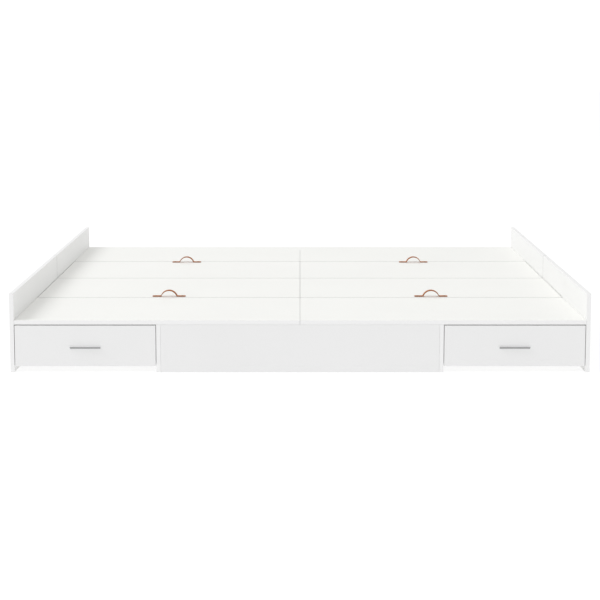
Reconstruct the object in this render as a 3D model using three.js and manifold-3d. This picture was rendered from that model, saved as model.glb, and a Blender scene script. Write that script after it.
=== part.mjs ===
// Platform bed with storage drawers: white board frame, low end panels, a deck of eight boards,
// four drawers on roller runners and four storage lids with leather lifting straps.
//
// Millimetres, +Z up. X runs along the bed's length and Y across it; the front is -Y.
// The origin is the middle of the footprint, on the floor. Left and right are as seen from the front.

import * as THREE from 'three';
import { mergeVertices } from 'three/addons/utils/BufferGeometryUtils.js';
import Module from 'manifold-3d';

const wasm = await Module();
wasm.setup();

// ---------------------------------------------------------------- driving dimensions

const MATTRESS_LENGTH = 2000;
const BED_WIDTH = 1800;
const BOARD = 15;              // thickness of every structural board
const END_HEIGHT = 280;        // end panels, floor to top edge
const DECK_TOP = 185;          // mattress surface above the floor
const REST_GAP = 0.3;          // between pieces that touch
const COLUMN_SEAM = 0.8;       // between the left and the right fixed deck boards
const LID_SEAM = 1;            // between the left and the right lids
const LID_CLEARANCE = 1.5;     // between a lid and the end panel
const ROW_SEAM = 3.5;          // between deck rows, so that a lid can be lifted
const END_SEAM = 1.4;          // between the two halves of an end panel

const DIVIDER_INNER = 488;     // X of the divider's face towards the middle of the bed

const DRAWER_GAP = 2;          // beside a drawer front
const DRAWER_TOP_GAP = 3;      // between a drawer front and the deck
const DRAWER_FLOOR_GAP = 22;   // under a drawer front
const DRAWER_BOX_DEPTH = 400;
const DRAWER_BOX_BOTTOM = 36;  // Z of the lower edge of the drawer sides
const DRAWER_SIDE_HEIGHT = 110;
const DRAWER_SIDE = 12;        // thickness of drawer sides and back
const DRAWER_BASE = 3;         // thickness of the hardboard base
const GROOVE_HEIGHT = 8;       // groove above the lower edge of the drawer side
const GROOVE_DEPTH = 6;
const RUNNER_SPACE = 12.5;     // between a drawer side and the cabinet, as roller runners need

const RUNNER_BOTTOM = 30;      // Z of the lower flange
const RUNNER_HEIGHT = 36;
const RUNNER_WIDTH = 9.7;
const RUNNER_LIP = 4;
const SHEET = 1.2;             // thickness of the runner's steel

const HANDLE_LENGTH = 107;
const HANDLE_PROJECTION = 9;
const HANDLE_HEIGHT = 10;      // of the flange on the drawer front
const HANDLE_FLANGE = 1.7;     // thickness of the flange
const HANDLE_LEDGE = 2.6;      // thickness of the ledge at the flange
const HANDLE_LIP_DROP = 0.9;   // lip below the ledge
const HANDLE_LIP = 1.8;        // thickness of the lip
const HANDLE_NOSE = 1.4;       // radius over the lip

const STRAP_LENGTH = 126;
const STRAP_WIDTH = 18;
const STRAP_THICKNESS = 3;
const STRAP_RISE = 25;         // top of the arch above the deck
const STRAP_ARCH = 69;         // distance between the two tabs
const STRAP_FOOT_RADIUS = 6;   // centre-line bend where arch meets tab
const STRAP_INSET = 22;        // strap centre line from the lid's outer edge

// ---------------------------------------------------------------- derived levels and places

const HALF_LENGTH = MATTRESS_LENGTH / 2;
const HALF_WIDTH = BED_WIDTH / 2;
const DECK_BOTTOM = DECK_TOP - BOARD;
const WALL_HEIGHT = DECK_BOTTOM - REST_GAP;
const ROW_DEPTH = BED_WIDTH / 4;
const DIVIDER_OUTER = DIVIDER_INNER + BOARD;
const BAY_WIDTH = HALF_LENGTH - DIVIDER_OUTER;
const BAY_CENTRE = DIVIDER_OUTER + BAY_WIDTH / 2;
const FRONT_BACK_FACE = HALF_WIDTH - BOARD;          // |Y| of the inner face of drawer and centre fronts
const PARTITION_FACE = ROW_DEPTH + BOARD / 2;        // |Y| of the partition's face towards the drawers

const SIDES = [{ name: 'left', sign: -1 }, { name: 'right', sign: 1 }];
const FACES = [{ name: 'front', sign: -1 }, { name: 'rear', sign: 1 }];

// ---------------------------------------------------------------- materials

const whiteBoard = new THREE.MeshStandardMaterial({ color: 0xf4f4f1, roughness: 0.55, metalness: 0 });
const drawerBase = new THREE.MeshStandardMaterial({ color: 0xe9e8e3, roughness: 0.6, metalness: 0 });
const runnerSteel = new THREE.MeshStandardMaterial({ color: 0xe2e3e4, roughness: 0.4, metalness: 0.3 });
const handleMetal = new THREE.MeshStandardMaterial({ color: 0xb4b5b6, roughness: 0.35, metalness: 0.9 });
const strapLeather = new THREE.MeshStandardMaterial({ color: 0xa5643c, roughness: 0.6, metalness: 0 });

// ---------------------------------------------------------------- shape helpers

// The span between two distances from a centre plane, on the side that sign names.
function spanOn(sign, from, to) {
  return sign < 0 ? [-to, -from] : [from, to];
}

function boxGeometry(x, y, z) {
  const geometry = new THREE.BoxGeometry(x[1] - x[0], y[1] - y[0], z[1] - z[0]);
  return geometry.translate((x[0] + x[1]) / 2, (y[0] + y[1]) / 2, (z[0] + z[1]) / 2);
}

function part(name, geometry, material) {
  const mesh = new THREE.Mesh(geometry, material);
  mesh.name = name;
  return mesh;
}

function board(name, x, y, z, material = whiteBoard) {
  return part(name, boxGeometry(x, y, z), material);
}

function toManifold(geometry) {
  const bare = geometry.clone();
  bare.deleteAttribute('normal');
  bare.deleteAttribute('uv');
  const merged = mergeVertices(bare);
  const vertProperties = new Float32Array(merged.attributes.position.array);
  const triVerts = new Uint32Array(merged.index.array);
  return new wasm.Manifold(new wasm.Mesh({ numProp: 3, vertProperties, triVerts }));
}

function fromManifold(solid) {
  const mesh = solid.getMesh();
  const geometry = new THREE.BufferGeometry();
  geometry.setAttribute('position', new THREE.BufferAttribute(new Float32Array(mesh.vertProperties), 3));
  geometry.setIndex(new THREE.BufferAttribute(new Uint32Array(mesh.triVerts), 1));
  geometry.computeVertexNormals();
  return geometry;
}

function cut(geometry, tool) {
  return fromManifold(toManifold(geometry).subtract(toManifold(tool)));
}

// Extrudes an X-Z outline along Y, from y = start over the given length.
function extrudeAlongY(outline, start, length, curveSegments = 8) {
  const geometry = new THREE.ExtrudeGeometry(outline, { depth: length, bevelEnabled: false, curveSegments });
  return geometry.rotateX(Math.PI / 2).translate(0, start + length, 0);
}

// Extrudes a Y-Z outline along X, centred on x = 0.
function extrudeAlongX(outline, length, curveSegments) {
  const geometry = new THREE.ExtrudeGeometry(outline, { depth: length, bevelEnabled: false, curveSegments });
  return geometry.rotateY(Math.PI / 2).rotateX(Math.PI / 2).translate(-length / 2, 0, 0);
}

function polygon(points) {
  return new THREE.Shape(points.map(([x, y]) => new THREE.Vector2(x, y)));
}

// ---------------------------------------------------------------- frame

// Head and foot panels, each in two halves that meet at the middle of the bed.
function endPanels(group) {
  for (const side of SIDES) {
    for (const face of FACES) {
      const x = spanOn(side.sign, HALF_LENGTH, HALF_LENGTH + BOARD);
      const y = spanOn(face.sign, END_SEAM / 2, HALF_WIDTH);
      group.add(board(`end_panel_${side.name}_${face.name}`, x, y, [0, END_HEIGHT]));
    }
  }
}

// Walls between the drawer bays and the closed centre bay.
function dividers(group) {
  for (const side of SIDES) {
    for (const face of FACES) {
      const x = spanOn(side.sign, DIVIDER_INNER, DIVIDER_OUTER);
      const y = spanOn(face.sign, PARTITION_FACE + REST_GAP, HALF_WIDTH);
      group.add(board(`divider_${side.name}_${face.name}`, x, y, [0, WALL_HEIGHT]));
    }
  }
}

function centrePanels(group) {
  const halfLength = DIVIDER_INNER - REST_GAP;
  for (const face of FACES) {
    const y = spanOn(face.sign, FRONT_BACK_FACE, HALF_WIDTH);
    group.add(board(`centre_panel_${face.name}`, [-halfLength, halfLength], y, [0, WALL_HEIGHT]));
  }
}

// Two full-length walls behind the drawer bays. Each is slotted from below, at the middle, to drop
// over the spine with a half-lap joint.
function partitions(group) {
  const halfLength = HALF_LENGTH - REST_GAP;
  const slotHalf = BOARD / 2 + REST_GAP;
  for (const face of FACES) {
    const y = spanOn(face.sign, ROW_DEPTH - BOARD / 2, PARTITION_FACE);
    const wall = boxGeometry([-halfLength, halfLength], y, [0, WALL_HEIGHT]);
    const slot = boxGeometry([-slotHalf, slotHalf], [y[0] - 1, y[1] + 1], [-1, (WALL_HEIGHT + REST_GAP) / 2]);
    group.add(part(`partition_${face.name}`, cut(wall, slot), whiteBoard));
  }
}

// Lengthways halves of the cross wall at the middle of the bed, slotted from above for the partitions.
function spine(group) {
  const slotHalf = BOARD / 2 + REST_GAP;
  for (const face of FACES) {
    const x = [-BOARD / 2, BOARD / 2];
    const y = spanOn(face.sign, REST_GAP / 2, FRONT_BACK_FACE - REST_GAP);
    const slotY = spanOn(face.sign, ROW_DEPTH - slotHalf, ROW_DEPTH + slotHalf);
    const wall = boxGeometry(x, y, [0, WALL_HEIGHT]);
    const slot = boxGeometry([x[0] - 1, x[1] + 1], slotY, [(WALL_HEIGHT - REST_GAP) / 2, WALL_HEIGHT + 1]);
    group.add(part(`spine_${face.name}`, cut(wall, slot), whiteBoard));
  }
}

// Rails under the seam where the front lids meet the rear lids.
function centreBeams(group) {
  for (const side of SIDES) {
    const x = spanOn(side.sign, BOARD / 2 + REST_GAP, HALF_LENGTH - REST_GAP);
    group.add(board(`centre_beam_${side.name}`, x, [-BOARD / 2, BOARD / 2], [0, WALL_HEIGHT]));
  }
}

// The span of a deck board along the bed, from the seam in the middle to the end panel.
function deckColumn(sign, seam, endGap) {
  return spanOn(sign, seam / 2, HALF_LENGTH - endGap);
}

function fixedDeckBoards(group) {
  for (const side of SIDES) {
    for (const face of FACES) {
      const x = deckColumn(side.sign, COLUMN_SEAM, REST_GAP);
      const y = spanOn(face.sign, ROW_DEPTH + ROW_SEAM / 2, HALF_WIDTH);
      group.add(board(`deck_${side.name}_${face.name}`, x, y, [DECK_BOTTOM, DECK_TOP]));
    }
  }
}

// ---------------------------------------------------------------- lids and straps

// Side view of the strap: two flat tabs joined by an arch, with a round bend at each foot.
function strapOutline() {
  const half = STRAP_THICKNESS / 2;
  const halfArch = STRAP_ARCH / 2;
  const centreRise = STRAP_RISE - STRAP_THICKNESS;
  const sweep = 2 * Math.atan2(centreRise, halfArch);
  const archRadius = halfArch / Math.sin(sweep) - STRAP_FOOT_RADIUS;
  const archCentre = STRAP_RISE - half - archRadius;
  const footCentre = half + STRAP_FOOT_RADIUS;
  const up = Math.PI / 2;
  const outline = new THREE.Shape();
  outline.moveTo(-STRAP_LENGTH / 2, 0);
  outline.lineTo(-halfArch, 0);
  outline.absarc(-halfArch, footCentre, STRAP_FOOT_RADIUS + half, -up, sweep - up, false);
  outline.absarc(0, archCentre, archRadius - half, up + sweep, up - sweep, true);
  outline.absarc(halfArch, footCentre, STRAP_FOOT_RADIUS + half, -up - sweep, -up, false);
  outline.lineTo(STRAP_LENGTH / 2, 0);
  outline.lineTo(STRAP_LENGTH / 2, STRAP_THICKNESS);
  outline.absarc(halfArch, footCentre, STRAP_FOOT_RADIUS - half, -up, -up - sweep, true);
  outline.absarc(0, archCentre, archRadius + half, up - sweep, up + sweep, false);
  outline.absarc(-halfArch, footCentre, STRAP_FOOT_RADIUS - half, sweep - up, -up, true);
  outline.lineTo(-STRAP_LENGTH / 2, STRAP_THICKNESS);
  outline.closePath();
  return outline;
}

// The middle two rows are storage lids, with a strap near each lid's outer edge.
function lids(group) {
  const outerEdge = ROW_DEPTH - ROW_SEAM / 2;
  for (const side of SIDES) {
    for (const face of FACES) {
      const x = deckColumn(side.sign, LID_SEAM, LID_CLEARANCE);
      const y = spanOn(face.sign, ROW_SEAM / 2, outerEdge);
      group.add(board(`lid_${side.name}_${face.name}`, x, y, [DECK_BOTTOM, DECK_TOP]));
      const geometry = extrudeAlongY(strapOutline(), -STRAP_WIDTH / 2, STRAP_WIDTH, 10);
      const strap = part(`strap_${side.name}_${face.name}`, geometry, strapLeather);
      const strapY = face.sign * (outerEdge - STRAP_INSET);
      strap.position.set(side.sign * HALF_LENGTH / 2, strapY, DECK_TOP + REST_GAP);
      group.add(strap);
    }
  }
}

// ---------------------------------------------------------------- drawers

// Each drawer bay is modelled once, facing -Y: X = 0 is the middle of the bay, Y = 0 the face of the
// drawer front and Z = 0 the floor. Its left and right are those of a person facing the drawer.

// Section of a drawer side, with the base's groove in its inner face; sign points outwards.
function drawerSideOutline(sign) {
  const outer = BAY_WIDTH / 2 - RUNNER_SPACE;
  const inner = outer - DRAWER_SIDE;
  const bottom = DRAWER_BOX_BOTTOM;
  const top = bottom + DRAWER_SIDE_HEIGHT;
  const grooveLow = bottom + GROOVE_HEIGHT;
  const grooveHigh = grooveLow + DRAWER_BASE + 2 * REST_GAP;
  const section = [
    [outer, bottom], [outer, top], [inner, top], [inner, grooveHigh], [inner + GROOVE_DEPTH, grooveHigh],
    [inner + GROOVE_DEPTH, grooveLow], [inner, grooveLow], [inner, bottom],
  ];
  return polygon(section.map(([x, z]) => [sign * x, z]));
}

// End view of the ledge handle, Y outwards as negative: a flange flat on the drawer front, a ledge that
// falls slightly towards its nose, and a lip that fingertips hook behind from below. Z = 0 is its top.
function handleOutline() {
  const back = -REST_GAP;
  const flangeFace = back - HANDLE_FLANGE;
  const front = -HANDLE_PROJECTION;
  const lipBack = front + HANDLE_LIP;
  const noseCentre = -HANDLE_LEDGE;
  const lipBottom = -HANDLE_LEDGE - HANDLE_LIP_DROP;
  const outline = new THREE.Shape();
  outline.moveTo(back, 0);
  outline.lineTo(back, -HANDLE_HEIGHT);
  outline.lineTo(flangeFace, -HANDLE_HEIGHT);
  outline.lineTo(flangeFace, -HANDLE_LEDGE);
  outline.lineTo(lipBack, -HANDLE_LEDGE);
  outline.lineTo(lipBack, lipBottom);
  outline.lineTo(front, lipBottom);
  outline.lineTo(front, noseCentre);
  outline.absarc(front + HANDLE_NOSE, noseCentre, HANDLE_NOSE, Math.PI, Math.PI / 2, true);
  outline.closePath();
  return outline;
}

// Section of the cabinet half of a roller runner: web on the wall, roller track below, guide above.
function runnerOutline(sign) {
  const wall = BAY_WIDTH / 2 - REST_GAP;
  const edge = wall - RUNNER_WIDTH;
  const bottom = RUNNER_BOTTOM;
  const top = bottom + RUNNER_HEIGHT;
  const section = [
    [wall, bottom], [wall, top], [edge, top], [edge, top - SHEET], [wall - SHEET, top - SHEET],
    [wall - SHEET, bottom + SHEET], [edge + SHEET, bottom + SHEET], [edge + SHEET, bottom + RUNNER_LIP],
    [edge, bottom + RUNNER_LIP], [edge, bottom],
  ];
  return polygon(section.map(([x, z]) => [sign * x, z]));
}

function drawerBay(prefix) {
  const bay = new THREE.Group();
  const frontHalf = BAY_WIDTH / 2 - DRAWER_GAP;
  const boxOuter = BAY_WIDTH / 2 - RUNNER_SPACE;
  const boxInner = boxOuter - DRAWER_SIDE;
  const boxStart = BOARD + REST_GAP;
  const boxTop = DRAWER_BOX_BOTTOM + DRAWER_SIDE_HEIGHT;
  const baseBottom = DRAWER_BOX_BOTTOM + GROOVE_HEIGHT + REST_GAP;
  const backStart = boxStart + DRAWER_BOX_DEPTH - DRAWER_SIDE;
  const backHalf = boxInner - REST_GAP;
  const baseHalf = boxInner + GROOVE_DEPTH - REST_GAP;

  const frontZ = [DRAWER_FLOOR_GAP, DECK_BOTTOM - DRAWER_TOP_GAP];
  bay.add(board(`${prefix}_front_board`, [-frontHalf, frontHalf], [0, BOARD], frontZ));
  for (const side of SIDES) {
    const sideBoard = extrudeAlongY(drawerSideOutline(side.sign), boxStart, DRAWER_BOX_DEPTH);
    bay.add(part(`${prefix}_side_${side.name}`, sideBoard, whiteBoard));
    const runner = extrudeAlongY(runnerOutline(side.sign), boxStart, DRAWER_BOX_DEPTH);
    bay.add(part(`runner_${prefix.replace('drawer_', '')}_${side.name}`, runner, runnerSteel));
  }
  const backZ = [baseBottom + DRAWER_BASE + REST_GAP, boxTop];
  bay.add(board(`${prefix}_back`, [-backHalf, backHalf], [backStart, backStart + DRAWER_SIDE], backZ));
  const baseY = [boxStart + REST_GAP, boxStart + DRAWER_BOX_DEPTH];
  const baseZ = [baseBottom, baseBottom + DRAWER_BASE];
  bay.add(board(`${prefix}_base`, [-baseHalf, baseHalf], baseY, baseZ, drawerBase));

  const handle = part(`${prefix}_handle`, extrudeAlongX(handleOutline(), HANDLE_LENGTH, 6), handleMetal);
  handle.position.z = (frontZ[0] + frontZ[1]) / 2;
  bay.add(handle);
  return bay;
}

function drawers(group) {
  for (const side of SIDES) {
    for (const face of FACES) {
      const bay = drawerBay(`drawer_${side.name}_${face.name}`);
      bay.position.set(side.sign * BAY_CENTRE, face.sign * HALF_WIDTH, 0);
      bay.rotation.z = face.sign < 0 ? 0 : Math.PI;
      group.add(bay);
    }
  }
}

// ---------------------------------------------------------------- assembly

const group = new THREE.Group();
const frame = [endPanels, dividers, centrePanels, partitions, spine, centreBeams, fixedDeckBoards];
for (const add of [...frame, lids, drawers]) {
  add(group);
}

export default group;
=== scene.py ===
"""Looks for the platform bed with storage drawers: materials, leather straps, hardware, light and camera.

Metres, +Z up, the bed's front is -Y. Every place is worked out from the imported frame. Hardware sizes are
named in millimetres and multiplied by MM where they are used.
"""

import math

import bmesh
import bpy
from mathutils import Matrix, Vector


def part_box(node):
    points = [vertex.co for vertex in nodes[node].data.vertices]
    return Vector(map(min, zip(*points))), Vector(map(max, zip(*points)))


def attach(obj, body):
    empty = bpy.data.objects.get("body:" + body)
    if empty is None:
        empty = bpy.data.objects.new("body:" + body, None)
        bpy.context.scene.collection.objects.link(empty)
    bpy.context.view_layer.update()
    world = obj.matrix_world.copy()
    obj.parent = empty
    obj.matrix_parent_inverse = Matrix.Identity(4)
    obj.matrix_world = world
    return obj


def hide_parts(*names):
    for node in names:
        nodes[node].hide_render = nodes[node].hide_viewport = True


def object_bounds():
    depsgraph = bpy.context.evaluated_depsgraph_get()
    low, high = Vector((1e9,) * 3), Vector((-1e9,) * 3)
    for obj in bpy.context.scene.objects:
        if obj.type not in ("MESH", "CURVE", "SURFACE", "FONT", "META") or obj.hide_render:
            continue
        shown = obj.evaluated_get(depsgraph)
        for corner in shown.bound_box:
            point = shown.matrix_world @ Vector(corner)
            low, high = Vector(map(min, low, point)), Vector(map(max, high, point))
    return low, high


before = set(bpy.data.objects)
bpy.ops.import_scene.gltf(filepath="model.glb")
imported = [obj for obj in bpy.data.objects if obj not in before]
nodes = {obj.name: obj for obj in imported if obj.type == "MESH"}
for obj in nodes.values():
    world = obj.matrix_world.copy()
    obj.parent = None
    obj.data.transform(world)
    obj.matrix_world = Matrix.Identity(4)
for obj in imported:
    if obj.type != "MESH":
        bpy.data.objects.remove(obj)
cad_low, cad_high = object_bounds()

MM = 0.001
SIDES = {"left": -1, "right": 1}
FACES = {"front": -1, "rear": 1}
CORNERS = [(side, face) for side in SIDES for face in FACES]
X_AXIS, Y_AXIS, Z_AXIS = (1, 0, 0), (0, 1, 0), (0, 0, 1)
WHITE = (1, 1, 1, 1)

# ------------------------------------------------------------------ camera

CAMERA_DISTANCE = 4.884      # in front of the end panels' front edges
CAMERA_HEIGHT = 1.147
CAMERA_TILT = math.radians(6.70)
CAMERA_LENS = 85.3
CAMERA_SHIFT = -0.15


def make_camera():
    data = bpy.data.cameras.new("camera")
    data.lens = CAMERA_LENS
    data.sensor_width = 36
    data.shift_y = CAMERA_SHIFT
    data.clip_start = 0.05
    data.clip_end = 200
    camera = bpy.data.objects.new("camera", data)
    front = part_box("end_panel_left_front")[0].y
    camera.location = (0, front - CAMERA_DISTANCE, CAMERA_HEIGHT)
    camera.rotation_euler = (math.radians(90) - CAMERA_TILT, 0, 0)
    bpy.context.scene.collection.objects.link(camera)
    bpy.context.scene.camera = camera


# ------------------------------------------------------------------ node helpers


def new_material(name):
    material = bpy.data.materials.new(name)
    material.use_nodes = True
    tree = material.node_tree
    return material, tree, tree.nodes["Principled BSDF"]


def add_node(tree, kind, inputs=None, **settings):
    """Adds a shader node; an input is a value or another node's output socket."""
    made = tree.nodes.new(kind)
    for key, value in settings.items():
        setattr(made, key, value)
    for key, value in (inputs or {}).items():
        if isinstance(value, bpy.types.NodeSocket):
            tree.links.new(value, made.inputs[key])
        else:
            made.inputs[key].default_value = value
    return made


def object_space(tree, scale=(1, 1, 1)):
    place = add_node(tree, "ShaderNodeTexCoord")
    inputs = {"Vector": place.outputs["Object"], "Scale": scale}
    return add_node(tree, "ShaderNodeMapping", inputs).outputs[0]


def object_parts(tree):
    """The object-space X, Y and Z of the shaded point, as outputs of one node."""
    place = add_node(tree, "ShaderNodeTexCoord")
    return add_node(tree, "ShaderNodeSeparateXYZ", {0: place.outputs["Object"]}).outputs


def noise(tree, vector, scale, detail, roughness=0.5, distortion=0.0):
    inputs = {"Vector": vector, "Scale": scale, "Detail": detail, "Roughness": roughness,
              "Distortion": distortion}
    return add_node(tree, "ShaderNodeTexNoise", inputs).outputs["Fac"]


def remap(tree, value, low, high, to_low, to_high):
    inputs = {"Value": value, "From Min": low, "From Max": high, "To Min": to_low, "To Max": to_high}
    return add_node(tree, "ShaderNodeMapRange", inputs).outputs["Result"]


def spread(tree, noise_value, to_low=0.0, to_high=1.0):
    """Stretches a noise, which seldom leaves 0.3 to 0.7, over the range given."""
    return remap(tree, noise_value, 0.3, 0.7, to_low, to_high)


def math_node(tree, operation, first, second=0.0):
    return add_node(tree, "ShaderNodeMath", {0: first, 1: second}, operation=operation).outputs[0]


def mix_value(tree, factor, first, second):
    inputs = {"Factor": factor, 2: first, 3: second}
    return add_node(tree, "ShaderNodeMix", inputs, data_type="FLOAT").outputs[0]


def mix_colour(tree, factor, first, second):
    """Mixes two colours; each is an output socket or an RGB triple."""
    first, second = (c if isinstance(c, bpy.types.NodeSocket) else (*c, 1) for c in (first, second))
    inputs = {"Factor": factor, 6: first, 7: second}
    return add_node(tree, "ShaderNodeMix", inputs, data_type="RGBA").outputs[2]


def scaled_colour(colour, factor):
    return tuple(min(c * factor, 1) for c in colour)


def bump(tree, height, strength, distance, below=None):
    inputs = {"Height": height, "Strength": strength, "Distance": distance}
    if below is not None:
        inputs["Normal"] = below
    return add_node(tree, "ShaderNodeBump", inputs).outputs[0]


def connect(tree, shader, **sockets):
    for name, value in sockets.items():
        tree.links.new(value, shader.inputs[name.replace("_", " ")])


# ------------------------------------------------------------------ materials

DECK_WHITE = (0.905, 0.907, 0.880)
END_WHITE = (0.885, 0.885, 0.878)
# The fronts' white is darker than the deck's: partly their own tone, partly painted shade on the faces that
# face forward.
FRONT_SHADED_WHITE = (0.845, 0.845, 0.845)
EDGE_WHITE = (0.885, 0.885, 0.885)
# painted shade: the grey that stands for the shade inside the seams between boards
SEAM_SHADE_GREY = (0.28, 0.28, 0.275)
DECK_SEAM_REACH = 0.5                  # takes in all the seams between deck rows
DECK_SEAM_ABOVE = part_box("lid_left_front")[1].z - 3 * MM
END_SEAM_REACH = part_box("end_panel_left_rear")[0].y + 0.5 * MM
SEAM_FADE = 0.5 * MM                   # below the height where the painted seam shade starts
HANDLE_METAL = (0.97, 0.97, 0.975)
# painted shade: a darker copy of the handle metal for the nose and the lip
HANDLE_FRONT_SHADE = (0.46, 0.46, 0.465)     # of the nose and the lip, which face away from the light
LENGTHWISE_LINES = (5, 900, 900)       # texture scale that draws brush lines along a handle
SMALL_LINES = (300, 300, 300)          # the same for the small round heads


def across(tree, axis):
    """1 on faces whose normal lies along the axis, 0 on those at right angles to it."""
    place = add_node(tree, "ShaderNodeTexCoord")
    inputs = {0: place.outputs["Normal"], 1: axis}
    along = add_node(tree, "ShaderNodeVectorMath", inputs, operation="DOT_PRODUCT")
    return remap(tree, math_node(tree, "ABSOLUTE", along.outputs["Value"]), 0.35, 0.8, 0.0, 1.0)


def seam_shade_mask(tree, reach, above):
    """Mask of the painted shade in the seams: 1 within reach of the bed's long middle line, and where above
    isn't None only higher than it.
    """
    parts = object_parts(tree)
    mask = remap(tree, math_node(tree, "ABSOLUTE", parts["Y"]), reach, reach * 1.1, 1.0, 0.0)
    if above is not None:
        high = remap(tree, parts["Z"], above - SEAM_FADE, above, 0.0, 1.0)
        mask = math_node(tree, "MULTIPLY", mask, high)
    return mask


def white_board(name, axis, face_colour, seam_reach=0.0, seam_above=None):
    """Matt white foil with a very fine leathery emboss on the faces, and smoother edge banding.

    axis is the direction through the board's thickness. Edges that face another board are those
    within seam_reach of the bed's long middle line. Their banding is painted grey, as shade in the seam,
    where it is higher than seam_above, or all of it, with its thickness showing on the faces, where
    seam_above is None.
    """
    material, tree, shader = new_material(name)
    here = object_space(tree)
    face = across(tree, axis)
    cloud = spread(tree, noise(tree, here, scale=2.4, detail=2), 0.0, 0.65)
    speck = remap(tree, noise(tree, here, scale=160, detail=3), 0.35, 0.65, 0.0, 0.35)
    shade = math_node(tree, "ADD", cloud, speck)
    foil = mix_colour(tree, shade, scaled_colour(face_colour, 0.986), scaled_colour(face_colour, 1.012))
    streak = noise(tree, object_space(tree, (6, 6, 900)), scale=1.0, detail=2)
    band = mix_colour(tree, spread(tree, streak), scaled_colour(EDGE_WHITE, 0.988), EDGE_WHITE)
    # painted shade in the seams between boards
    painted_seam_shade = seam_shade_mask(tree, seam_reach, seam_above) if seam_reach else 0.0
    colour = mix_colour(tree, face, mix_colour(tree, painted_seam_shade, band, SEAM_SHADE_GREY), foil)
    if seam_reach and seam_above is None:
        colour = mix_colour(tree, painted_seam_shade, colour, SEAM_SHADE_GREY)
    foil_rough = spread(tree, noise(tree, here, scale=240, detail=3), 0.46, 0.56)
    smudge = noise(tree, here, scale=9, detail=3, roughness=0.6, distortion=0.8)
    handled = remap(tree, smudge, 0.35, 0.7, -0.02, 0.04)
    band_rough = spread(tree, noise(tree, here, scale=520, detail=2), 0.33, 0.4)
    rough = mix_value(tree, face, band_rough, math_node(tree, "ADD", foil_rough, handled))
    emboss = add_node(tree, "ShaderNodeTexVoronoi", {"Vector": here, "Scale": 900.0}, feature="SMOOTH_F1")
    pores = bump(tree, emboss.outputs["Distance"], strength=0.10, distance=0.00012)
    waves = bump(tree, noise(tree, here, scale=34, detail=2), strength=0.05, distance=0.0006, below=pores)
    connect(tree, shader, Base_Color=colour, Roughness=rough, Normal=waves)
    shader.inputs["Specular IOR Level"].default_value = 0.42
    return material


def hardboard(name):
    """White-faced hardboard: a painted face with the faint mottle of the fibres below it."""
    material, tree, shader = new_material(name)
    fibre = noise(tree, object_space(tree, (1, 0.25, 1)), scale=420, detail=5, roughness=0.65)
    mottle = spread(tree, noise(tree, object_space(tree), scale=18, detail=4))
    colour = mix_colour(tree, mottle, (0.74, 0.735, 0.71), (0.80, 0.798, 0.78))
    connect(tree, shader, Base_Color=colour, Roughness=spread(tree, fibre, 0.5, 0.66),
            Normal=bump(tree, fibre, strength=0.18, distance=0.0002))
    shader.inputs["Specular IOR Level"].default_value = 0.35
    return material


def coated_steel(name):
    """White epoxy-coated runner steel with a slight orange peel."""
    material, tree, shader = new_material(name)
    peel = noise(tree, object_space(tree), scale=700, detail=2)
    grime = noise(tree, object_space(tree, (1, 0.15, 1)), scale=60, detail=4, roughness=0.6)
    dirty = remap(tree, grime, 0.45, 0.8, 0.0, 1.0)
    colour = mix_colour(tree, dirty, (0.80, 0.805, 0.81), (0.66, 0.66, 0.655))
    connect(tree, shader, Base_Color=colour, Roughness=spread(tree, peel, 0.28, 0.38),
            Normal=bump(tree, peel, strength=0.16, distance=0.0002))
    shader.inputs["Coat Weight"].default_value = 0.25
    shader.inputs["Coat Roughness"].default_value = 0.2
    return material


def brushed_metal(name, colour, rough, line_scale, shaded_front_colour=None):
    """Satin metal with fine brush lines; the faces along Y may take a darker tone of painted shade."""
    material, tree, shader = new_material(name)
    lines = noise(tree, object_space(tree, line_scale), scale=1.0, detail=4, roughness=0.6)
    patches = noise(tree, object_space(tree), scale=45, detail=3)
    tint = math_node(tree, "ADD", spread(tree, lines, 0.0, 0.7), spread(tree, patches, 0.0, 0.3))
    shade = mix_colour(tree, tint, scaled_colour(colour, 0.9), colour)
    # painted shade on the faces along Y
    if shaded_front_colour:
        painted_front_shade = mix_colour(tree, tint, scaled_colour(shaded_front_colour, 0.84), shaded_front_colour)
        shade = mix_colour(tree, across(tree, Y_AXIS), shade, painted_front_shade)
    connect(tree, shader, Base_Color=shade, Roughness=spread(tree, lines, *rough),
            Normal=bump(tree, lines, strength=0.06, distance=0.00008))
    shader.inputs["Metallic"].default_value = 1.0
    return material


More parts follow.
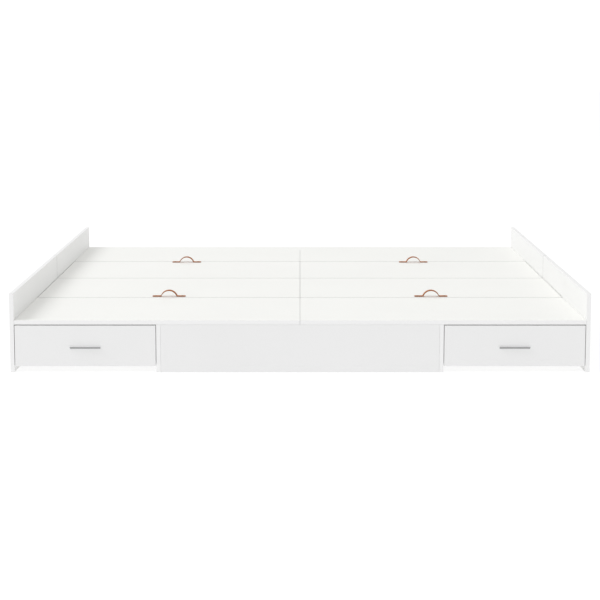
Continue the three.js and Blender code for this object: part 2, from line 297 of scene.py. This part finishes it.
def saddle_leather(name):
    """Tan vegetable-tanned leather: pebbled grain, pull-up colour, pores, and burnished cut edges.

    The mesh carries an "edge" attribute, 1 on the cut edge and 0 in the middle of the strap, and a
    "bend" attribute, 1 where the strap is creased between the arch and a tab.
    """
    material, tree, shader = new_material(name)
    here = object_space(tree)
    edge = add_node(tree, "ShaderNodeAttribute", attribute_name="edge").outputs["Fac"]
    crease = add_node(tree, "ShaderNodeAttribute", attribute_name="bend").outputs["Fac"]
    oiled = noise(tree, here, scale=70, detail=4, roughness=0.6, distortion=0.4)
    pull_up = remap(tree, oiled, 0.3, 0.72, 0.0, 1.0)
    skin = mix_colour(tree, pull_up, (0.39, 0.126, 0.034), (0.58, 0.202, 0.060))
    worn = mix_colour(tree, math_node(tree, "MULTIPLY", crease, 0.55), skin, (0.62, 0.25, 0.09))
    cells = {"Vector": here, "Scale": 1150.0, "Randomness": 0.9}
    grain = add_node(tree, "ShaderNodeTexVoronoi", cells, feature="DISTANCE_TO_EDGE").outputs["Distance"]
    valley = remap(tree, grain, 0.0, 0.12, 0.6, 0.0)
    grained = mix_colour(tree, valley, worn, (0.23, 0.07, 0.02))
    burnish = mix_colour(tree, pull_up, (0.25, 0.08, 0.022), (0.38, 0.135, 0.042))
    rough_skin = spread(tree, noise(tree, here, scale=330, detail=3), 0.44, 0.6)
    pebble = bump(tree, remap(tree, grain, 0.0, 0.3, 0.0, 1.0), strength=0.35, distance=0.00018)
    pores = bump(tree, noise(tree, here, scale=2600, detail=2), strength=0.12, distance=0.0001, below=pebble)
    connect(tree, shader, Base_Color=mix_colour(tree, edge, grained, burnish),
            Roughness=mix_value(tree, edge, rough_skin, 0.4), Normal=pores)
    shader.inputs["Specular IOR Level"].default_value = 0.26
    return material


def moulded_plastic(name, colour):
    """White moulded plastic of caps and rollers, with a fine sparked texture."""
    material, tree, shader = new_material(name)
    here = object_space(tree)
    spark = noise(tree, here, scale=1500, detail=2)
    tint = spread(tree, noise(tree, here, scale=90, detail=2))
    connect(tree, shader, Base_Color=mix_colour(tree, tint, scaled_colour(colour, 0.95), colour),
            Roughness=spread(tree, spark, 0.36, 0.46),
            Normal=bump(tree, spark, strength=0.12, distance=0.0001))
    return material


FINISH = {
    "deck": white_board("deck_board", Z_AXIS, DECK_WHITE, DECK_SEAM_REACH, DECK_SEAM_ABOVE),
    "end": white_board("end_board", X_AXIS, END_WHITE, END_SEAM_REACH),
    "front": white_board("front_board", Y_AXIS, FRONT_SHADED_WHITE),
    "base": hardboard("drawer_base"),
    "runner": coated_steel("runner_steel"),
    "handle": brushed_metal("handle_metal", HANDLE_METAL, (0.5, 0.62), LENGTHWISE_LINES, HANDLE_FRONT_SHADE),
    "screw": brushed_metal("screw_steel", (0.62, 0.62, 0.62), (0.22, 0.34), SMALL_LINES),
    "stud": brushed_metal("strap_stud", (0.36, 0.22, 0.12), (0.3, 0.42), SMALL_LINES),
    "leather": saddle_leather("strap_leather"),
    "plastic": moulded_plastic("white_plastic", (0.86, 0.86, 0.855)),
    "nylon": moulded_plastic("roller_nylon", (0.74, 0.74, 0.72)),
}


# ------------------------------------------------------------------ CAD nodes: finish and eased edges

# A node takes the finish, and the edge radius in millimetres, of the key that its name starts with.
NODE_FINISHES = [
    ("end_panel", "end", 0.4), ("divider", "end", 0.6), ("spine", "end", 0.5),
    ("centre_panel", "front", 0.7), ("partition", "front", 0.5), ("centre_beam", "front", 0.5),
    ("deck", "deck", 0.4), ("lid", "deck", 0.4), ("runner", "runner", 0.25),
]
# The same for the nodes of the drawers, by the key that the name ends with.
DRAWER_FINISHES = [
    ("_front_board", "front", 0.9), ("_side_left", "end", 0.5), ("_side_right", "end", 0.5),
    ("_back", "front", 0.5), ("_base", "base", 0.2), ("_handle", "handle", 0.35),
]


def ease_edges(node, radius):
    """Rounds the sharp edges without touching the mesh: weld, join flat faces, bevel."""
    weld = node.modifiers.new("weld", "WELD")
    weld.merge_threshold = 0.01 * MM
    flat = node.modifiers.new("flat_faces", "DECIMATE")
    flat.decimate_type = "DISSOLVE"
    flat.angle_limit = math.radians(0.4)
    bevel = node.modifiers.new("eased_edges", "BEVEL")
    bevel.width = radius * MM
    bevel.segments = 3
    bevel.limit_method = "ANGLE"
    bevel.angle_limit = math.radians(35)


def finish_cad_nodes():
    for name, node in nodes.items():
        table = DRAWER_FINISHES if name.startswith("drawer") else NODE_FINISHES
        for key, finish, radius in table:
            if name.startswith(key) or name.endswith(key):
                node.material_slots[0].material = FINISH[finish]
                ease_edges(node, radius)


# ------------------------------------------------------------------ mesh helpers


def add_piece(name, bm, finish, body, smooth_angle=32):
    """Turns a bmesh into a finished piece of the object that rides on a CAD body."""
    bmesh.ops.recalc_face_normals(bm, faces=bm.faces)
    mesh = bpy.data.meshes.new(name)
    bm.to_mesh(mesh)
    bm.free()
    piece = bpy.data.objects.new(name, mesh)
    bpy.context.scene.collection.objects.link(piece)
    mesh.materials.append(FINISH[finish])
    mesh.shade_smooth()
    mesh.set_sharp_from_angle(angle=math.radians(smooth_angle))
    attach(piece, body)
    return piece


def turn_to(direction):
    return Vector(Z_AXIS).rotation_difference(Vector(direction)).to_matrix()


def turned(bm, profile, centre, direction, steps):
    """Adds a solid of revolution. profile is (radius, height) in millimetres from axis to axis."""
    turn = turn_to(direction)
    rings = []
    for radius, height in profile:
        count = 1 if radius == 0 else steps
        ring = []
        for i in range(count):
            angle = 2 * math.pi * i / steps
            point = Vector((radius * math.cos(angle), radius * math.sin(angle), height)) * MM
            ring.append(bm.verts.new(Vector(centre) + turn @ point))
        rings.append(ring)
    for low, high in zip(rings, rings[1:]):
        for i in range(steps):
            j = i + 1
            corners = [low[i % len(low)], low[j % len(low)], high[j % len(high)], high[i % len(high)]]
            bm.faces.new(list(dict.fromkeys(corners)))


def prism(bm, outline, low, high, place):
    """Adds a prism: (u, v) points extruded over w from low to high; place gives the point at (u, v, w)."""
    bottom = [bm.verts.new(place(u, v, low)) for u, v in outline]
    top = [bm.verts.new(place(u, v, high)) for u, v in outline]
    bm.faces.new(list(reversed(bottom)))
    bm.faces.new(top)
    for i in range(len(outline)):
        j = (i + 1) % len(outline)
        bm.faces.new([bottom[i], bottom[j], top[j], top[i]])


def cross_recess(bm, centre, direction, size, depth):
    """Adds the cross of a screw drive, size across, as a plus-shaped plug that stands just proud."""
    arm = size / 2 * MM
    half = size / 7 * MM
    outline = [(half, half), (half, arm), (-half, arm), (-half, half), (-arm, half), (-arm, -half),
               (-half, -half), (-half, -arm), (half, -arm), (half, -half), (arm, -half), (arm, half)]
    turn = turn_to(direction)
    prism(bm, outline, -depth * MM, CROSS_PROUD * MM,
          lambda u, v, w: Vector(centre) + turn @ Vector((u, v, w)))


CROSS_PROUD = 0.02
# Profiles are (radius, height) in millimetres, but the pan head's are shares of its radius.
PAN_HEAD = [(0, -0.2), (0.92, -0.2), (1, 0.12), (0.97, 0.32), (0.82, 0.47), (0.5, 0.57), (0, 0.6)]
STUD_HEAD = [(0, -1.0), (4.6, -1.0), (4.6, 0.1), (4.3, 0.35), (3.6, 0.4), (3.5, 0.8), (3.0, 1.25),
             (1.6, 1.5), (0, 1.55)]
WHEEL_RADIUS = 8.5
WHEEL = [(0, -2.7), (7.7, -2.7), (WHEEL_RADIUS, -2.0), (WHEEL_RADIUS, 2.0), (7.7, 2.7), (3.6, 2.7),
         (3.4, 2.2), (2.2, 2.2), (2.0, 2.9), (0, 3.1)]
CAM_DISC = [(0, -3), (7.4, -3), (7.4, 0.0), (7.9, 0.0), (7.9, 0.25), (7.5, 0.5), (2.6, 0.55), (2.4, 0.2),
            (0, 0.2)]
CAP = [(0, -0.6), (5.8, -0.6), (6.2, 0.1), (6.1, 0.45), (5.2, 0.75), (3.0, 0.95), (0, 1.0)]


def pan_head(bm, centre, direction, radius):
    turned(bm, [(r * radius, h * radius) for r, h in PAN_HEAD], centre, direction, steps=20)


# ------------------------------------------------------------------ leather straps

STRAP_THICKNESS = 3.0
STRAP_ARCH = 69.0         # between the feet of the arch
FOOT_RADIUS = 6.0         # centre line bend where the arch meets a tab
ARCH_BEND = 0.1           # crease of the arch, where a foot's is 1
LINE_STEP = 1.2           # between rings along a tab
ARC_STEP = 0.9            # between rings round a bend
EDGE_ROUND = 0.8          # burnished edge radius
ROUND_STEPS = 5
ROUND_BURNISH = 0.25      # "edge" value where the rounding of the edge starts
CREASE_INSET = 2.2        # tooled crease line from the cut edge
CREASE_DEPTH = 0.2
CREASE_SIDE = 0.35        # from the crease line to where it is less deep
CREASE_SIDE_SHARE = 0.45  # of the depth there
CREASE_REACH = 0.8        # from the crease line to the flat skin
TAB_CORNER = 6.0          # plan radius of the tab's end corners
END_CUT = 0.12            # where the corner's curve is cut off at the tab's end
END_THIN = 0.62           # share of the thickness at the very end
END_THIN_REACH = 2.2      # over which the share would rise by 1
END_BURNISH = 0.9         # length of the burnished end
STUD_INSET = 12.0         # stud centre from the tab's end
STUD_TOP = 1.56           # above the leather
STUD_DRIVE = 3.0          # across the cross
STUD_DRIVE_DEPTH = 0.6
LEVEL = 1e-6              # heading, in radians, under which a ring lies on a tab


def strap_path(length, rise):
    """Centre line (x, z, tangent angle, bend) of the strap, in millimetres, from end to end."""
    sweep = 2 * math.atan2(rise - STRAP_THICKNESS, STRAP_ARCH / 2)
    arch_radius = STRAP_ARCH / 2 / math.sin(sweep) - FOOT_RADIUS
    tab = (length - STRAP_ARCH) / 2
    stretches = [
        (tab, 0, 0.0), (FOOT_RADIUS, sweep, 1.0), (arch_radius, -2 * sweep, ARCH_BEND),
        (FOOT_RADIUS, sweep, 1.0), (tab, 0, 0.0),
    ]
    x, z, heading = -length / 2, STRAP_THICKNESS / 2, 0.0
    points = [(x, z, heading, 0.0)]
    for size, turn, bend in stretches:
        span = size * abs(turn) if turn else size
        steps = max(4, math.ceil(span / (ARC_STEP if turn else LINE_STEP)))
        change = turn / steps
        chord = 2 * size * math.sin(abs(change) / 2) if turn else span / steps
        for _ in range(steps):
            middle = heading + change / 2
            x += chord * math.cos(middle)
            z += chord * math.sin(middle)
            heading += change
            points.append((x, z, heading, bend))
    return points


def strap_section(half_width):
    """Outline samples (sideways, out, edge) of the strap's cross-section in millimetres."""
    half = STRAP_THICKNESS / 2
    inner = half_width - EDGE_ROUND
    crease = half_width - CREASE_INSET
    right = [(0, half, 0.0), (crease * 0.5, half, 0.0)]
    for offset, share in ((-CREASE_REACH, 0), (-CREASE_SIDE, CREASE_SIDE_SHARE), (0, 1),
                          (CREASE_SIDE, CREASE_SIDE_SHARE), (CREASE_REACH, 0)):
        right.append((crease + offset, half - CREASE_DEPTH * share, 0.0))
    corner = []
    for i in range(ROUND_STEPS + 1):
        angle = math.pi / 2 * (1 - i / ROUND_STEPS)
        out = half - EDGE_ROUND + EDGE_ROUND * math.sin(angle)
        corner.append((inner + EDGE_ROUND * math.cos(angle), out, min(1.0, ROUND_BURNISH + i / ROUND_STEPS)))
    right_low = [(sideways, -out, edge) for sideways, out, edge in reversed(corner)]
    right_low += [(crease * 0.5, -half, 0.0), (0, -half, 0.0)]
    loop = right + corner + right_low
    mirrored = [(-sideways, out, edge) for sideways, out, edge in reversed(loop[1:-1])]
    return loop + mirrored


def end_taper(distance, half_width):
    """Half-width at a distance from the strap's end, where the tab's corners are rounded in plan."""
    if distance >= TAB_CORNER:
        return half_width
    return half_width - TAB_CORNER + math.sqrt(max(TAB_CORNER ** 2 - (TAB_CORNER - distance) ** 2, 0))


def strap_mesh(length, width, rise, centre):
    """The strap as a closed bmesh round its path, with the attributes that its leather reads."""
    bm = bmesh.new()
    edge_layer = bm.verts.layers.float.new("edge")
    bend_layer = bm.verts.layers.float.new("bend")
    section = strap_section(width / 2)
    rings = []
    for x, z, heading, bend in strap_path(length, rise):
        from_end = length / 2 - abs(x)
        distance = from_end if abs(heading) < LEVEL else TAB_CORNER
        narrowing = end_taper(max(distance, END_CUT), width / 2) / (width / 2)
        thin = min(1.0, END_THIN + distance / END_THIN_REACH)
        ring = []
        for sideways, out, edge in section:
            offset = Vector((-math.sin(heading), 0, math.cos(heading))) * out * thin
            vertex = bm.verts.new(centre + (Vector((x, sideways * narrowing, z)) + offset) * MM)
            vertex[edge_layer] = max(edge, 1.0 - distance / END_BURNISH)
            vertex[bend_layer] = bend
            ring.append(vertex)
        rings.append(ring)
    for first, second in zip(rings, rings[1:]):
        for i in range(len(first)):
            j = (i + 1) % len(first)
            bm.faces.new([first[i], first[j], second[j], second[i]])
    bm.faces.new(rings[0])
    bm.faces.new(rings[-1])
    return bm


def make_strap(side, face):
    node = f"strap_{side}_{face}"
    body = f"lid_{side}_{face}"
    low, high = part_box(node)
    length, width, rise = (high - low) / MM
    centre = Vector(((low.x + high.x) / 2, (low.y + high.y) / 2, low.z))
    bm = strap_mesh(length, width, rise, centre)
    strap = add_piece(f"leather_{node}", bm, "leather", body, smooth_angle=60)
    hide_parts(node)

    studs = bmesh.new()
    drives = bmesh.new()
    for sign in (-1, 1):
        at = centre + Vector((sign * (length / 2 - STUD_INSET) * MM, 0, STRAP_THICKNESS * MM))
        turned(studs, STUD_HEAD, at, Z_AXIS, steps=28)
        cross_recess(drives, at + Vector((0, 0, STUD_TOP * MM)), Z_AXIS, STUD_DRIVE, STUD_DRIVE_DEPTH)
    add_piece(f"studs_{side}_{face}", studs, "stud", body)
    add_piece(f"stud_drives_{side}_{face}", drives, "stud", body)


# ------------------------------------------------------------------ drawer hardware

SHEET = 1.2               # steel of the runners
WHEEL_PLAY = 0.05         # between the drawer's wheel and the rail it runs on
WHEEL_INSET = 12          # wheel centre from the end of the drawer side
FLANGE_RISE = 5.2         # of the drawer rail's flange above its wheel
HANG_PLAY = 0.2           # between the flange and the cabinet's wheel
WEB_PLAY = 0.1            # between the drawer rail and the drawer side
WEB_TOP = 26              # above the drawer side's lower edge
FLANGE_GAP = 2.6          # from the flange to the wall of the cabinet rail
RAIL_SETBACK = 3          # of the drawer rail from the front board
CHEEK_LENGTH = 24         # of the plate that carries the drawer's wheel
CHEEK_DROP = 4            # of the plate below the wheel's centre
RUNNER_SCREWS = (60, 190, 330)        # from the front of the drawer side
RUNNER_SCREW_DROP = 6.4   # below the cabinet rail's upper edge
RUNNER_SCREW_RADIUS = 3.0
CAM_INSET = 34            # from the inside of the front board
CAM_HEIGHTS = (0.3, 0.78)             # shares of the drawer side's height
CAM_DRIVE = 4.2           # across the cross
CAM_DRIVE_AT = 0.22       # height of the cross on the cam
CAM_DRIVE_DEPTH = 0.1
HANDLE_SCREW_INSET = 5.5  # from the end of the handle
HANDLE_SCREW_RADIUS = 3.8
CAP_WALL_HEIGHTS = (0.28, 0.75)       # shares of the partition's height
CAP_DECK_INSET = 60       # from a deck board's long edges


def make_runner(side, face, hand):
    """The drawer's half of a roller runner with its rear wheel, and the cabinet half's front wheel."""
    drawer = f"drawer_{side}_{face}"
    label = f"{side}_{face}_{hand}"
    board_low, board_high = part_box(f"{drawer}_side_{hand}")
    rail_low, rail_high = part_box(f"runner_{label}")
    outward = 1 if rail_low.x > board_low.x else -1
    back = -FACES[face]
    board_face = board_high.x if outward > 0 else board_low.x
    wall = rail_high.x if outward > 0 else rail_low.x
    near = board_low.y if face == "front" else board_high.y
    far = board_high.y if face == "front" else board_low.y
    sheet = SHEET * MM
    wheel_z = rail_low.z + sheet + (WHEEL_RADIUS + WHEEL_PLAY) * MM
    flange_z = wheel_z + (WHEEL_RADIUS + FLANGE_RISE) * MM
    web_x = board_face + outward * WEB_PLAY * MM
    inner_x = web_x + outward * sheet
    tip_x = wall - outward * FLANGE_GAP * MM
    web_top = board_low.z + WEB_TOP * MM

    rail = bmesh.new()
    angle = [(web_x, flange_z), (tip_x, flange_z), (tip_x, flange_z + sheet), (inner_x, flange_z + sheet),
             (inner_x, web_top), (web_x, web_top)]
    start, end = sorted((near + back * RAIL_SETBACK * MM, far))
    prism(rail, angle, start, end, lambda x, z, y: Vector((x, y, z)))
    cheek_end = far - back * CHEEK_LENGTH * MM
    cheek_low = wheel_z - CHEEK_DROP * MM
    cheek = [(cheek_end, flange_z), (far, flange_z), (far, cheek_low), (cheek_end, cheek_low)]
    prism(rail, cheek, *sorted((web_x, inner_x)), lambda y, z, x: Vector((x, y, z)))
    add_piece(f"drawer_rail_{label}", rail, "runner", drawer)

    wheel_x = (rail_low.x + rail_high.x) / 2
    inset = back * WHEEL_INSET * MM
    rear = bmesh.new()
    turned(rear, WHEEL, (wheel_x, far - inset, wheel_z), (-outward, 0, 0), steps=36)
    add_piece(f"drawer_wheel_{label}", rear, "nylon", drawer)
    front = bmesh.new()
    front_z = flange_z - (WHEEL_RADIUS + HANG_PLAY) * MM
    turned(front, WHEEL, (wheel_x, near + inset, front_z), (-outward, 0, 0), steps=36)
    add_piece(f"cabinet_wheel_{label}", front, "nylon", "frame")

    screws = bmesh.new()
    for along in RUNNER_SCREWS:
        at = Vector((wall - outward * sheet, near + back * along * MM, rail_high.z - RUNNER_SCREW_DROP * MM))
        pan_head(screws, at, (-outward, 0, 0), RUNNER_SCREW_RADIUS)
    add_piece(f"runner_screws_{label}", screws, "screw", "frame")


def make_drawer_fittings(side, face):
    """Cam fittings that hold the front board, and the two screws of the handle, seen inside the drawer."""
    drawer = f"drawer_{side}_{face}"
    back = -FACES[face]
    front_low, front_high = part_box(f"{drawer}_front_board")
    inner = front_high.y if face == "front" else front_low.y
    cams = bmesh.new()
    drives = bmesh.new()
    for hand in SIDES:
        low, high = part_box(f"{drawer}_side_{hand}")
        facing = 1 if high.x < (front_low.x + front_high.x) / 2 else -1
        x = high.x if facing > 0 else low.x
        for share in CAM_HEIGHTS:
            at = Vector((x, inner + back * CAM_INSET * MM, low.z + (high.z - low.z) * share))
            turned(cams, CAM_DISC, at, (facing, 0, 0), steps=32)
            drive_at = at + Vector((facing * CAM_DRIVE_AT * MM, 0, 0))
            cross_recess(drives, drive_at, (facing, 0, 0), CAM_DRIVE, CAM_DRIVE_DEPTH)
    add_piece(f"cams_{side}_{face}", cams, "plastic", drawer)
    add_piece(f"cam_drives_{side}_{face}", drives, "screw", drawer)

    low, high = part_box(f"{drawer}_handle")
    heads = bmesh.new()
    for x in (low.x + HANDLE_SCREW_INSET * MM, high.x - HANDLE_SCREW_INSET * MM):
        pan_head(heads, (x, inner, (low.z + high.z) / 2), (0, back, 0), HANDLE_SCREW_RADIUS)
    add_piece(f"handle_screws_{side}_{face}", heads, "screw", drawer)


def make_caps(side, face):
    """White press-in caps over the fastenings in the outer face of an end panel."""
    low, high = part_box(f"end_panel_{side}_{face}")
    outward = SIDES[side]
    x = high.x if outward > 0 else low.x
    wall_low, wall_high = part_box(f"partition_{face}")
    deck_low, deck_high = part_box(f"deck_{side}_{face}")
    wall_y = (wall_low.y + wall_high.y) / 2
    deck_z = (deck_low.z + deck_high.z) / 2
    places = [(wall_y, share * wall_high.z) for share in CAP_WALL_HEIGHTS]
    places += [(deck_low.y + CAP_DECK_INSET * MM, deck_z), (deck_high.y - CAP_DECK_INSET * MM, deck_z)]
    bm = bmesh.new()
    for y, z in places:
        turned(bm, CAP, (x, y, z), (outward, 0, 0), steps=32)
    add_piece(f"caps_{side}_{face}", bm, "plastic", "frame")


# ------------------------------------------------------------------ stage and light

FLOOR_SIZE = 60.0
KEY_DIRECTION = Vector((-0.80, -0.22, 1.0)).normalized()
KEY_DISTANCE = 20.0
KEY_SIZE = 10.5
KEY_POWER = 1480.0
WORLD_LIGHT = 0.78
SEEN_LIGHT = 1.1                      # of the background as the camera sees it
FLOOR_COLOUR = (0.30, 0.30, 0.30)
FLOOR_GLOW = 0.77
PLAIN_FLOOR = (0.80, 0.80, 0.79)      # under the bed, where no glow reaches
FLOOR_FADE_START = 0.12               # in from the edge of the bed
FLOOR_FADE_END = 0.30
SHADE_DEPTH = 0.40                    # share of the glow lost where an end or the rear meets the floor
SHADE_SIDE_REACH = (0.02, 0.33)       # beside an end panel, from its front to its rear
SHADE_REAR_REACH = 1.0                # behind the bed
SHADE_START = (-0.78, -0.45)          # Y over which the shade sets in, so that none shows in front


def floor_shade(tree, parts):
    """1 where an end or the rear of the bed meets the floor, falling to 0 with distance from it."""
    ahead = parts["Y"]
    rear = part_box("deck_left_rear")[1].y
    ends = remap(tree, ahead, cad_low.y, rear, *SHADE_SIDE_REACH)
    beside = math_node(tree, "SUBTRACT", math_node(tree, "ABSOLUTE", parts["X"]), cad_high.x)
    behind = math_node(tree, "SUBTRACT", ahead, rear)
    away = math_node(tree, "MAXIMUM", math_node(tree, "DIVIDE", beside, ends),
                     math_node(tree, "DIVIDE", behind, SHADE_REAR_REACH))
    near = remap(tree, away, 0.0, 1.0, 1.0, 0.0)
    started = remap(tree, ahead, *SHADE_START, 0.0, 1.0)
    return math_node(tree, "MULTIPLY", math_node(tree, "MULTIPLY", near, near), started)


def make_floor():
    """A pale backlit sweep: dark under the middle of the bed and shaded close beside and behind it."""
    material, tree, shader = new_material("pale_floor")
    parts = object_parts(tree)
    under = []
    for axis, edge in (("X", cad_high.x), ("Y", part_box("centre_panel_rear")[1].y)):
        reach = math_node(tree, "ABSOLUTE", parts[axis])
        under.append(remap(tree, reach, edge - FLOOR_FADE_END, edge - FLOOR_FADE_START, 1.0, 0.0))
    inside = math_node(tree, "MULTIPLY", *under)
    open_glow = remap(tree, inside, 0.0, 1.0, FLOOR_GLOW, 0.0)
    kept = remap(tree, floor_shade(tree, parts), 0.0, 1.0, 1.0, 1.0 - SHADE_DEPTH)
    connect(tree, shader, Base_Color=mix_colour(tree, inside, FLOOR_COLOUR, PLAIN_FLOOR),
            Emission_Strength=math_node(tree, "MULTIPLY", open_glow, kept))
    shader.inputs["Roughness"].default_value = 0.9
    shader.inputs["Specular IOR Level"].default_value = 0.0
    shader.inputs["Emission Color"].default_value = WHITE
    bm = bmesh.new()
    bmesh.ops.create_grid(bm, x_segments=1, y_segments=1, size=FLOOR_SIZE / 2)
    mesh = bpy.data.meshes.new("floor")
    bm.to_mesh(mesh)
    bm.free()
    mesh.materials.append(material)
    floor = bpy.data.objects.new("floor", mesh)
    bpy.context.scene.collection.objects.link(floor)


def make_light():
    centre = (cad_low + cad_high) / 2
    data = bpy.data.lights.new("key", "AREA")
    data.shape = "SQUARE"
    data.size = KEY_SIZE
    data.energy = KEY_POWER
    key = bpy.data.objects.new("key", data)
    key.location = centre + KEY_DIRECTION * KEY_DISTANCE
    key.rotation_euler = KEY_DIRECTION.to_track_quat("Z", "Y").to_euler()
    key.visible_camera = False
    bpy.context.scene.collection.objects.link(key)


def make_world():
    """An even white studio: soft light all round, and a clean white background."""
    world = bpy.data.worlds.new("studio")
    bpy.context.scene.world = world
    world.use_nodes = True
    tree = world.node_tree
    tree.nodes.clear()
    light = add_node(tree, "ShaderNodeBackground", {"Color": WHITE, "Strength": WORLD_LIGHT})
    seen = add_node(tree, "ShaderNodeBackground", {"Color": WHITE, "Strength": SEEN_LIGHT})
    rays = add_node(tree, "ShaderNodeLightPath")
    both = add_node(tree, "ShaderNodeMixShader",
                    {0: rays.outputs["Is Camera Ray"], 1: light.outputs[0], 2: seen.outputs[0]})
    add_node(tree, "ShaderNodeOutputWorld", {"Surface": both.outputs[0]})
    view = bpy.context.scene.view_settings
    view.view_transform = "Standard"
    view.look = "None"
    view.exposure = 0.0


make_camera()
finish_cad_nodes()
for side, face in CORNERS:
    make_strap(side, face)
    make_caps(side, face)
    make_drawer_fittings(side, face)
    for hand in SIDES:
        make_runner(side, face, hand)
make_floor()
make_light()
make_world()
